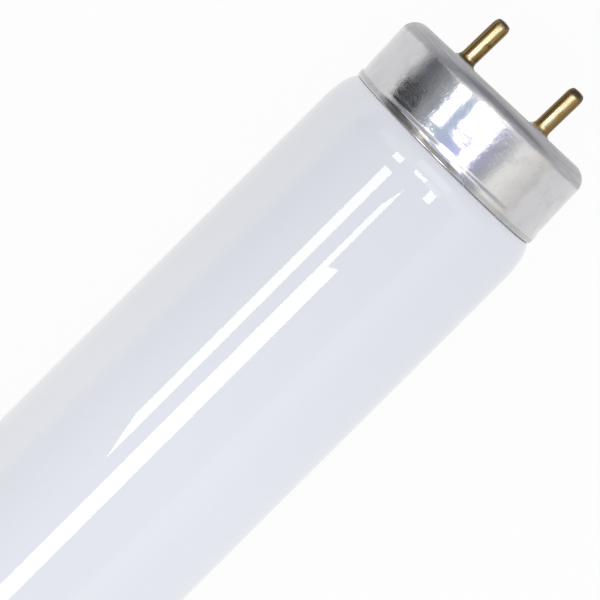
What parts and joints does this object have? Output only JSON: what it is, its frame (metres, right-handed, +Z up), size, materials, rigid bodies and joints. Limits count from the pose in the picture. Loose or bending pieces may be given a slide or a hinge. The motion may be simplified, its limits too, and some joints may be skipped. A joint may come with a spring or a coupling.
{
  "type": "fluorescent tube",
  "caption": "Straight fluorescent tube: a milky glass barrel, drawn in at each end to an aluminium cap with a pair of brass contact pins.",
  "frame": {"origin": "centre of the whole lamp, on the axis of its glass", "axes": "+X along the lamp to the end that the picture shows, called the near end; the two pins of an end lie side by side along Y; +Z up"},
  "size_m": [0.5942, 0.0324, 0.0324],
  "materials": {
    "milky_glass": "clear gloss over a milky white inner coating",
    "cap_metal": "drawn sheet, half bright, with faint draw lines and scuffs",
    "insulator": "moulded grey",
    "cement": "baked, chalky",
    "pin_metal": "bright drawn tube, tarnished darker at tip and root",
    "wire_metal": "plain drawn wire"
  },
  "bodies": {
    "root": {"glass_tube": "milky_glass", "near_cap_shell": "cap_metal", "near_insulator": "insulator", "near_cement": "cement", "near_left_pin": "pin_metal", "near_right_pin": "pin_metal", "near_left_lead_wire": "wire_metal", "near_right_lead_wire": "wire_metal", "far_cap_shell": "cap_metal", "far_insulator": "insulator", "far_cement": "cement", "far_left_pin": "pin_metal", "far_right_pin": "pin_metal", "far_left_lead_wire": "wire_metal", "far_right_lead_wire": "wire_metal"}
  },
  "joints": []
}
